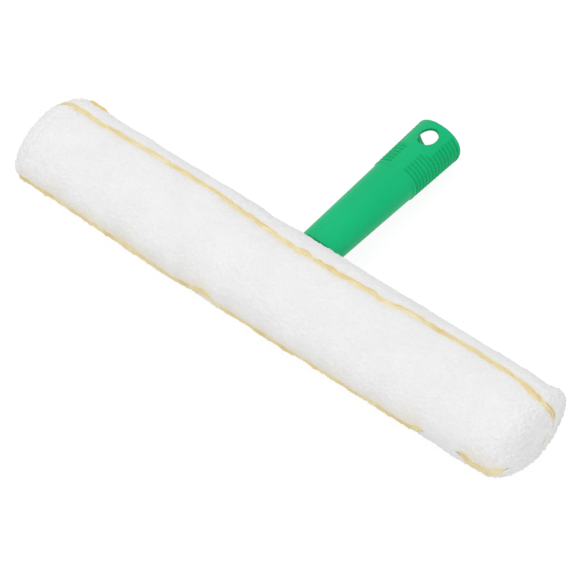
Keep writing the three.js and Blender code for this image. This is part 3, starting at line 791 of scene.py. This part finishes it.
# The end flap and its fastening
def flap():
    """The domed end flap, closed across its flat inner face."""
    x, share = flap_rows()
    columns, seam_from, seam_full, warm_reach = 360, 9.0, 12.0, 2.4
    turn = np.linspace(0, 2 * np.pi, columns, endpoint=False)
    xs, angle = np.broadcast_arrays(x[:, None], turn)
    from_axis = share[:, None] * radius(xs, angle)
    grid = about_axis(xs, from_axis, angle)
    n = normals(np.concatenate([grid[:, -1:], grid, grid[:, :1]], axis=1))[:, 1:-1]
    warm = np.zeros(angle.shape)
    trench = np.zeros(angle.shape)
    outside = rise(from_axis, seam_from, seam_full)
    for _, seam in SEAMS:
        lateral = np.abs(wrapped(angle - seam_angle(seam, xs))) * from_axis
        bare = bare_width(seam, xs, share[:, None])
        trench = np.maximum(trench, (1 - rise(lateral, bare, bare + 0.6)) * outside)
        seam_halo = np.exp(-(np.maximum(lateral - bare, 0) / warm_reach) ** 2)
        warm = np.maximum(warm, seam_halo * outside)
    height = pile_height(grid, xs, angle) * (1 - trench) - SUNK_SEAM * trench
    outer = above_table(grid + n * height[..., None])
    outer[:, :, 0] = np.minimum(outer[:, :, 0], MOUTH - FLAP_GAP)
    rim = outer[0, :, 1:]
    face = [outline_at(rim * t, 0, FLAP_FACE) for t in (0.3, 0.45, 0.6, 0.75, 0.9)]
    face.append(outline_at(rim * 0.985, 0, FLAP_RIM))
    rings = np.concatenate([face, outer])
    shown = skin("flap_pile", rings)
    mark(shown, "warm", np.concatenate([np.full((len(face), columns), 0.3), warm]), rings)
    recess = stadium(LINING_WIDTH + LINING_ROOM, LINING_HEIGHT + LINING_ROOM)
    cut(shown, prism("lining_recess", recess, 0, -166.95, -160))
    cut(shown, prism("patch_recess", rectangle(PATCH, PATCH_ROOM), 0, -166.65, -160))
    return round_shading(shown, 60)


def hooks(y, z):
    bumps = np.clip(np.sin(y * 5.2) * np.sin(z * 5.2), 0, 1)
    return 0.12 * bumps + 0.05 * noise(np.stack([y, z, 0 * y], -1), 0.8, EDGE)


def loops(y, z):
    return 0.16 * noise(np.stack([y, z, 0 * y], -1), 0.9, BLOTCH) + 0.08


def knit(y, z):
    ribs = np.sin(y * 4.4) * np.sin(z * 3.6)
    return 0.06 * ribs + 0.04 * noise(np.stack([y, z, 0 * y], -1), 1.5, KNIT)


def cloth_plate(name, box, x_back, x_face, relief, rounded=None):
    """A flat textile patch with soft edges and a woven or looped face, looking along its x_face side."""
    y0, y1, z0, z1 = box
    spacing, edge_drop = 0.35, 0.25
    ny, nz = int((y1 - y0) / spacing), int((z1 - z0) / spacing)
    yy, zz = np.meshgrid(np.linspace(y0, y1, ny), np.linspace(z0, z1, nz))
    if rounded is not None:
        wide, high = rounded
        yy = yy / y1 * (wide - high + np.sqrt(np.maximum(high**2 - zz**2, 0)))
    soft = rise(np.minimum(from_ends(nz)[:, None], from_ends(ny)), 0, 2.0)
    outward = np.sign(x_face - x_back)
    face_x = x_face + outward * (relief(yy, zz) * soft - edge_drop * (1 - soft))
    face = np.stack([face_x, yy, zz], -1)
    back = np.stack([np.full_like(yy, x_back), yy, zz], -1)
    return round_shading(skin(name, np.concatenate([face, back[:, ::-1]], axis=1)), 50)


# The handle
def grip_half(y):
    """Half width and half height of the plain grip."""
    t = (y - GRIP_START) / (GRIP_END - GRIP_START)
    return GRIP_WIDTH + GRIP_WIDENS * t, GRIP_HEIGHT + GRIP_RISES * t


def rib_share(x, y):
    """From 0 on the grip's plain panel to 1 where the ribs have their full depth."""
    wider = HOLE_PANEL_WIDER + HOLE_PANEL_WIDER_LEFT * (x < 0)
    plain = PANEL_WIDTH + wider * rise(y, HOLE_PANEL_START, HOLE_PANEL_START + 1.2)
    return rise(np.abs(x), plain, plain + 1.1)


def grip_ring(y, inset, ribs=0.0):
    wide, high = grip_half(y)
    c, s = circle(240, 2 / GRIP_POWER).T
    x, z = (wide - inset) * c, (high - inset) * s
    if ribs > 0:
        shrink = 1 - ribs * rib_share(x, y) / np.hypot(x, z)
        x, z = x * shrink, z * shrink
    return np.stack([x, np.full_like(x, y), z], -1)


def rim_drop(rings):
    """How far the underside of the open end lies back from its top."""
    return RIM_DROP * np.clip(-rings[..., 2] / 12, 0, 1)


def grip():
    """The tapered grip: its inner end follows the sleeve's back, its outer end is cut at a slight slant."""
    rings = []
    grooves = {}
    for turn in np.linspace(0, np.pi / 2, 9):
        y = GRIP_START + START_ROUND * (1 - math.cos(turn))
        rings.append(grip_ring(y, START_ROUND * (1 - math.sin(turn))))
    rings += [grip_ring(y, 0) for y in np.arange(36.0, 102.5, 3.0)]
    for y in np.linspace(STEP_Y - STEP_LENGTH, STEP_Y, 9):
        rings.append(grip_ring(y, -STEP_RISE * rise(y, STEP_Y - 0.8, STEP_Y)))
    first = STEP_Y + RIB_PITCH / 2
    last = first + RIB_COUNT * RIB_PITCH
    for y in np.arange(first, last, RIB_PITCH / RIB_RINGS):
        groove = (0.5 - 0.5 * math.cos(2 * math.pi * (y - first) / RIB_PITCH)) ** 1.1
        grooves[len(rings)] = groove
        rings.append(grip_ring(y, -STEP_RISE, RIB_DEPTH * groove))
    rings += [grip_ring(y, -STEP_RISE) for y in np.arange(last, 146.6, 0.5)]
    for turn in np.linspace(0, np.pi / 2, 10):
        inset = RIM_ROUND * (1 - math.cos(turn)) - STEP_RISE
        rings.append(grip_ring(RIM_Y + RIM_ROUND * math.sin(turn), inset))
    rings = np.array(rings)
    # Painted shade for the grooves: how deep each point lies in a groove, on the ribbed part only, so that
    # the material darkens the groove bottoms where shade falls.
    deep = np.zeros(rings.shape[:2])
    for i, groove in grooves.items():
        deep[i] = groove**1.5 * rib_share(rings[i, :, 0], rings[i, :, 1])
    slant = rim_drop(rings) + RIM_SLANT * (rings[..., 0] + 5)
    rings[..., 1] -= slant * rise(rings[..., 1], 143.5, 146.8)
    hug = HALF_WIDTH * (1 - np.sqrt(1 - (rings[..., 2] / HALF_HEIGHT) ** 2))
    rings[..., 1] -= 0.8 * hug * (1 - rise(rings[..., 1], 33.0, 42.0))
    rings[..., 0] += GRIP_X
    shown = skin("handle_moulded", rings)
    mark(shown, "deep", deep, rings)
    return shown


def grip_bore():
    """Cutter for the bore, which opens out in a rounded lip."""
    steps = ((52, 2), (144, 1.7), (145.6, 1.4), (146.4, 1.05), (147.2, 0.75), (148.6, 0.2))
    rings = np.array([grip_ring(y, inset) for y, inset in steps])
    rings[..., 1] -= rim_drop(rings) * rise(rings[..., 1], 143.0, 146.0)
    rings[-1, :, 1] += 3.0
    rings[..., 0] += GRIP_X
    return skin("bore", rings)


def hang_hole(side):
    """Cutter for the hang hole through one wall, with its outer edge rounded off."""
    inside, outside, skin_gap = 1.0, 4.0, 0.02
    c, s = circle(96).T

    def ring(grow, drop=None):
        x = (HOLE_WIDTH + grow) * c + HOLE_X
        y = HOLE_Y + (HOLE_LENGTH + grow) * s
        wide, high = (half + STEP_RISE for half in grip_half(y))
        top = high * (1 - (np.abs(x) / wide) ** GRIP_POWER) ** (1 / GRIP_POWER)
        z = np.full_like(x, inside) if drop is None else top + drop + skin_gap * (drop == 0)
        return np.stack([x + GRIP_X, y, side * z], -1)

    rings = [ring(0.0)]
    for t in np.linspace(0, np.pi / 2, 6):
        rings.append(ring(HOLE_ROUND * (1 - math.cos(t)), -HOLE_ROUND * (1 - math.sin(t))))
    return skin("hang_hole", rings + [ring(HOLE_ROUND, outside)])


def screw_form(side, grow):
    """Rings of a countersunk screw, or with room around it, from its head to its end."""
    head, shank = HEAD_RADIUS + grow, SHANK_RADIUS + grow
    profile = ((head, -grow), (head, HEAD_EDGE), (shank, HEAD_HEIGHT + grow), (shank, SCREW_LENGTH + grow))
    middle = (side * SCREW_X, SCREW_Y)
    return [outline_at(middle + r * circle(40), 2, z - BAR_HEIGHT) for r, z in profile]


def bar_outline(grow=0.0, steps=40):
    """The crossbar's outer outline, or one that stands off it."""
    return stadium(BAR_WIDTH + grow, BAR_HEIGHT + grow, steps)


def saddle_form(name, play=0.0, thicker=0.0):
    """The saddle that grips the crossbar's back, or a cutter for its seat, grown by play."""
    end = SADDLE_END + play
    shown = prism(name, bar_outline(thicker), 0, -end, end)
    cut(shown, prism(name + "_inner", bar_outline(-BAR_WALL - play), 0, -FAR, FAR))
    front = rectangle((-60, 60, -FAR, SADDLE_FRONT - play))
    return cut(shown, prism(name + "_front", front, 2, -FAR, FAR))


def handle():
    """The grip with its bore and hang hole, the tang through the slit and the saddle."""
    shown = grip()
    cut(shown, grip_bore())
    cut(shown, prism("tang", stadium(TANG_WIDTH, TANG_HEIGHT, 24), 1, TANG_START, TANG_END), "UNION")
    cut(shown, saddle_form("saddle"), "UNION")
    for side in (1, -1):
        cut(shown, hang_hole(side))
        cut(shown, skin("screw_room", screw_form(side, SCREW_ROOM)))
    return round_shading(shown, 62)


# The crossbar, its end caps and screws
def water_slot(x):
    """Cutter for a drain slot with rounded edges on both faces of the crossbar."""
    rings = []
    for grow, z in ((1, -10.3), (1, -10.0), (0, -9.3), (0, 9.3), (1, 10.0), (1, 10.3)):
        slot = stadium(SLOT_WIDTH + SLOT_ROUND * grow, SLOT_HEIGHT + SLOT_ROUND * grow, 18)
        rings.append(outline_at(slot + (x, 0), 2, z))
    return skin("water_slot", rings)


def crossbar():
    """The hollow bar with its solid core, drain slots and the seat for the saddle."""
    shown = prism("crossbar_moulded", bar_outline(), 0, -BAR_END, BAR_END)
    for side in (1, -1):
        start, end = sorted((side * CORE_END, side * (BAR_END + 8.8)))
        cut(shown, prism("hollow", bar_outline(-BAR_WALL, 32), 0, start, end))
        for i in range(SLOT_COUNT):
            cut(shown, water_slot(side * (SLOT_FIRST + SLOT_PITCH * i)))
        cut(shown, skin("screw_room", screw_form(side, SCREW_ROOM)))
    cut(shown, saddle_form("seat", SEAT_PLAY, thicker=6.0))
    return round_shading(shown, 32)


def end_cap(name, side):
    """A cap over the bar's end: a rounded flange with a hollow plug."""
    def ring(grow, x):
        return outline_at(bar_outline(grow, 32), 0, side * x)

    flange = [ring(-CAP_EDGE, CAP_START), ring(0.0, CAP_START + CAP_EDGE)]
    for turn in np.linspace(0, np.pi / 2, 8):
        x = CAP_FACE - CAP_ROUND * (1 - math.sin(turn))
        flange.append(ring(-CAP_ROUND * (1 - math.cos(turn)), x))
    shown = skin(name, flange)
    inset = BAR_WALL + PLUG_PLAY
    plug = [ring(-inset - 0.4, PLUG_START), ring(-inset, PLUG_START + PLUG_LEAD), ring(-inset, PLUG_END)]
    cut(shown, skin("plug", plug), "UNION")
    start, end = sorted((side * 140.0, side * CAP_START))
    cut(shown, prism("plug_room", bar_outline(-inset - PLUG_WALL, 32), 0, start, end))
    return round_shading(shown, 32)


def screw(name, side):
    """A countersunk screw with a six-sided socket."""
    shown = skin(name, screw_form(side, 0.0))
    hexagon = SOCKET_RADIUS * circle(6)
    cut(shown, prism("socket", (side * SCREW_X, SCREW_Y) + hexagon, 2, -12, -9))
    return round_shading(shown, 30)


# Materials
def marked(tree, name):
    return add(tree, "ShaderNodeAttribute", output="Fac", attribute_name=name)


def texture(tree, where, scale, detail=2.0):
    inputs = {"Vector": where, "Scale": scale, "Detail": detail, "Roughness": 0.5}
    return add(tree, "ShaderNodeTexNoise", inputs)


def ramp(tree, value, stops):
    colour = add(tree, "ShaderNodeValToRGB", {"Fac": value})
    for element, (position, tone) in zip(colour.node.color_ramp.elements, stops):
        element.position = position
        element.color = (*tone, 1)
    return colour


def scaled(tree, value, factor):
    return add(tree, "ShaderNodeMath", {0: value, 1: factor}, operation="MULTIPLY")


def blend_colour(tree, mode, factor, first, second):
    """Blend a colour socket with a socket or a plain colour."""
    second = second if hasattr(second, "is_output") else (*second, 1)
    inputs = {0: factor, MIX_FIRST: first, MIX_SECOND: second}
    return add(tree, "ShaderNodeMix", inputs, MIX_RESULT, data_type="RGBA", blend_type=mode)


def bumped(tree, height, strength, distance, before=None):
    inputs = {"Strength": strength, "Distance": distance, "Height": height}
    if before is not None:
        inputs["Normal"] = before
    return add(tree, "ShaderNodeBump", inputs)


def look(name, colours, scales, rough, bump_scale, bump_depth, metallic=0.0, sheen=0.0, specular=0.5,
         warm=None, deep=None, wear=None):
    """A procedural material: colour that varies at two scales, varying roughness and two bumps."""
    made = bpy.data.materials.new(name)
    tree = node_tree(made)
    where = add(tree, "ShaderNodeTexCoord", output="Object")
    broad, narrow = scales
    colour = ramp(tree, texture(tree, where, broad, 3.0), [(0.3, colours[0]), (0.7, colours[1])])
    shade = ramp(tree, texture(tree, where, narrow), [(0.25, (0.93, 0.93, 0.93)), (0.7, (1.0, 1.0, 1.0))])
    colour = blend_colour(tree, "MULTIPLY", 1.0, colour, shade)
    # Warm tint by the seams, multiplied in so that it also darkens the pile: a warm tint, and painted shade
    # where it reaches wide beside the front seam.
    if warm is not None:
        colour = blend_colour(tree, "MULTIPLY", scaled(tree, marked(tree, "warm"), 0.9), colour, warm)
    # Painted shade: the groove bottoms are multiplied towards a deeper green, where shade falls.
    if deep is not None:
        colour = blend_colour(tree, "MULTIPLY", marked(tree, "deep"), colour, deep)
    if wear is not None:
        pointed = add(tree, "ShaderNodeNewGeometry", output="Pointiness")
        edge = ramp(tree, pointed, [(0.52, (0, 0, 0)), (0.58, (1, 1, 1))])
        colour = blend_colour(tree, "MIX", scaled(tree, edge, 0.35), colour, wear)
    varied = texture(tree, where, narrow * 0.6)
    roughness = add(tree, "ShaderNodeMapRange", {"Value": varied, "To Min": rough[0], "To Max": rough[1]})
    normal = bumped(tree, texture(tree, where, bump_scale, 3.0), 0.8, bump_depth)
    normal = bumped(tree, texture(tree, where, bump_scale * 3.1), 0.6, bump_depth * 0.5, normal)
    shader = add(tree, "ShaderNodeBsdfPrincipled", {
        "Base Color": colour, "Roughness": roughness, "Normal": normal, "Metallic": metallic,
        "Specular IOR Level": specular, "Sheen Weight": sheen, "Sheen Roughness": 0.6})
    add(tree, "ShaderNodeOutputMaterial", {0: shader})
    return made


def dress(thing, made, body, node):
    """Give a piece its material, attach it to its body and hide the solid it stands for."""
    thing.data.materials.clear()
    thing.data.materials.append(made)
    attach(thing, body)
    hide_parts(node)


camera()
world()
floor()
lamp("key", (-0.5, 0.35, 1.5), (0, 0.03, 0), 1.1, 5.27)
lamp("side", (1.25, -0.05, 0.45), (0.15, 0, 0.02), 0.8, 1.7)
lamp("fill", (0.08, -1.12, 1.1), (0, 0, 0), 1.4, 5.05)
bpy.context.scene.view_settings.view_transform = "Standard"

# The grip's green, with painted shade darkening the bottoms of its grooves.
green = look(
    "moulded_green", ((0.004, 0.45, 0.172), (0.005, 0.485, 0.19)), (30, 900), (0.34, 0.42), 1600, 0.000004,
    specular=0.1, deep=(0.1, 0.9, 0.78))
bar_green = look(
    "bar_green", ((0.013, 0.43, 0.175), (0.016, 0.47, 0.195)), (30, 900), (0.4, 0.52), 1400, 0.00004,
    wear=(0.05, 0.54, 0.27))
# The pile, with a warm tint by the seams that is partly painted shade.
plush = look(
    "plush_pile", ((0.835, 0.835, 0.835), (0.87, 0.87, 0.872)), (60, 1500), (0.92, 1.0), 1900, 0.0003,
    sheen=0.15, specular=0.1, warm=(1.0, 0.94, 0.78))
yarn = look(
    "seam_yarn", ((0.78, 0.61, 0.26), (0.9, 0.79, 0.48)), (110, 1500), (0.8, 0.95), 2400, 0.0002,
    sheen=0.2, specular=0.2)
hem_yarn = look(
    "hem_yarn", ((0.80, 0.54, 0.13), (0.88, 0.64, 0.2)), (120, 2200), (0.8, 0.95), 2400, 0.0002,
    sheen=0.2, specular=0.2)
zinc = look(
    "zinc_steel", ((0.56, 0.57, 0.58), (0.63, 0.64, 0.65)), (200, 2600), (0.26, 0.42), 3000, 0.00002,
    metallic=1.0)
hook_cloth = look(
    "hook_tape", ((0.76, 0.76, 0.75), (0.83, 0.83, 0.82)), (300, 2400), (0.6, 0.8), 3200, 0.0002)
loop_cloth = look(
    "loop_tape", ((0.74, 0.74, 0.73), (0.81, 0.81, 0.80)), (300, 2000), (0.9, 1.0), 2600, 0.0003,
    sheen=0.3)
lining_cloth = look(
    "lining_cloth", ((0.68, 0.68, 0.66), (0.75, 0.75, 0.73)), (200, 1800), (0.85, 0.95), 2200, 0.0002,
    sheen=0.1)

# The T-bar
dress(handle(), green, "t_bar", "handle")
dress(crossbar(), bar_green, "t_bar", "crossbar")
for where, side in (("left", -1), ("right", 1)):
    dress(end_cap(f"cap_{where}_moulded", side), bar_green, "t_bar", f"end_cap_{where}")
for where, side in (("left", -1), ("right", 1)):
    dress(screw(f"screw_{where}_zinc", side), zinc, "t_bar", f"saddle_screw_{where}")

# The sleeve
top = panel("pile_top", TOP, FRONT)
dress(round_shading(top, 60), plush, "sleeve", "plush_top")
bottom = panel("pile_bottom", FRONT, BOTTOM)
cut(bottom, prism("hook_recess", rectangle(PATCH, PATCH_ROOM), 0, -170, -163.65))
dress(round_shading(bottom, 60), plush, "sleeve", "plush_bottom")
back = cut(panel("pile_back", BOTTOM, TOP), slit_cutter())
dress(round_shading(back, 60), plush, "sleeve", "plush_back")
for name, seam in SEAMS:
    dress(seam_strip(f"yarn_{name}", seam, tube_rows()), yarn, "sleeve", f"seam_{name}")
for where, side in (("upper", 1), ("lower", -1)):
    dress(lip(f"lip_{where}_pile", side), plush, "sleeve", f"slit_lip_{where}")
for where, side in (("upper", 1), ("lower", -1)):
    dress(hem(f"hem_{where}_sewn", side), hem_yarn, "sleeve", f"slit_hem_{where}")
dress(neck_binding(), hem_yarn, "sleeve", "neck_binding")
dress(mouth_binding(), hem_yarn, "sleeve", "mouth_binding")
hook = cloth_plate("hook_tape_woven", PATCH, -163.8, -164.95, hooks)
dress(hook, hook_cloth, "sleeve", "hook_patch")

# The end flap
dress(flap(), plush, "end_flap", "flap_plush")
rows = np.array(flap_rows())
rows = rows[:, rows[1] > 0.36]
for name, seam in SEAMS:
    strip = seam_strip(f"flap_yarn_{name}", seam, rows, start_depth=2.4)
    dress(strip, yarn, "end_flap", f"flap_seam_{name}")
lining = cloth_plate(
    "lining_knit", (-LINING_WIDTH, LINING_WIDTH, -LINING_EDGE, LINING_EDGE), -166.8, -165.35, knit,
    rounded=(LINING_WIDTH, LINING_HEIGHT))
dress(lining, lining_cloth, "end_flap", "flap_lining")
loop = cloth_plate("loop_tape_brushed", PATCH, -166.5, -165.4, loops)
dress(loop, loop_cloth, "end_flap", "loop_patch")
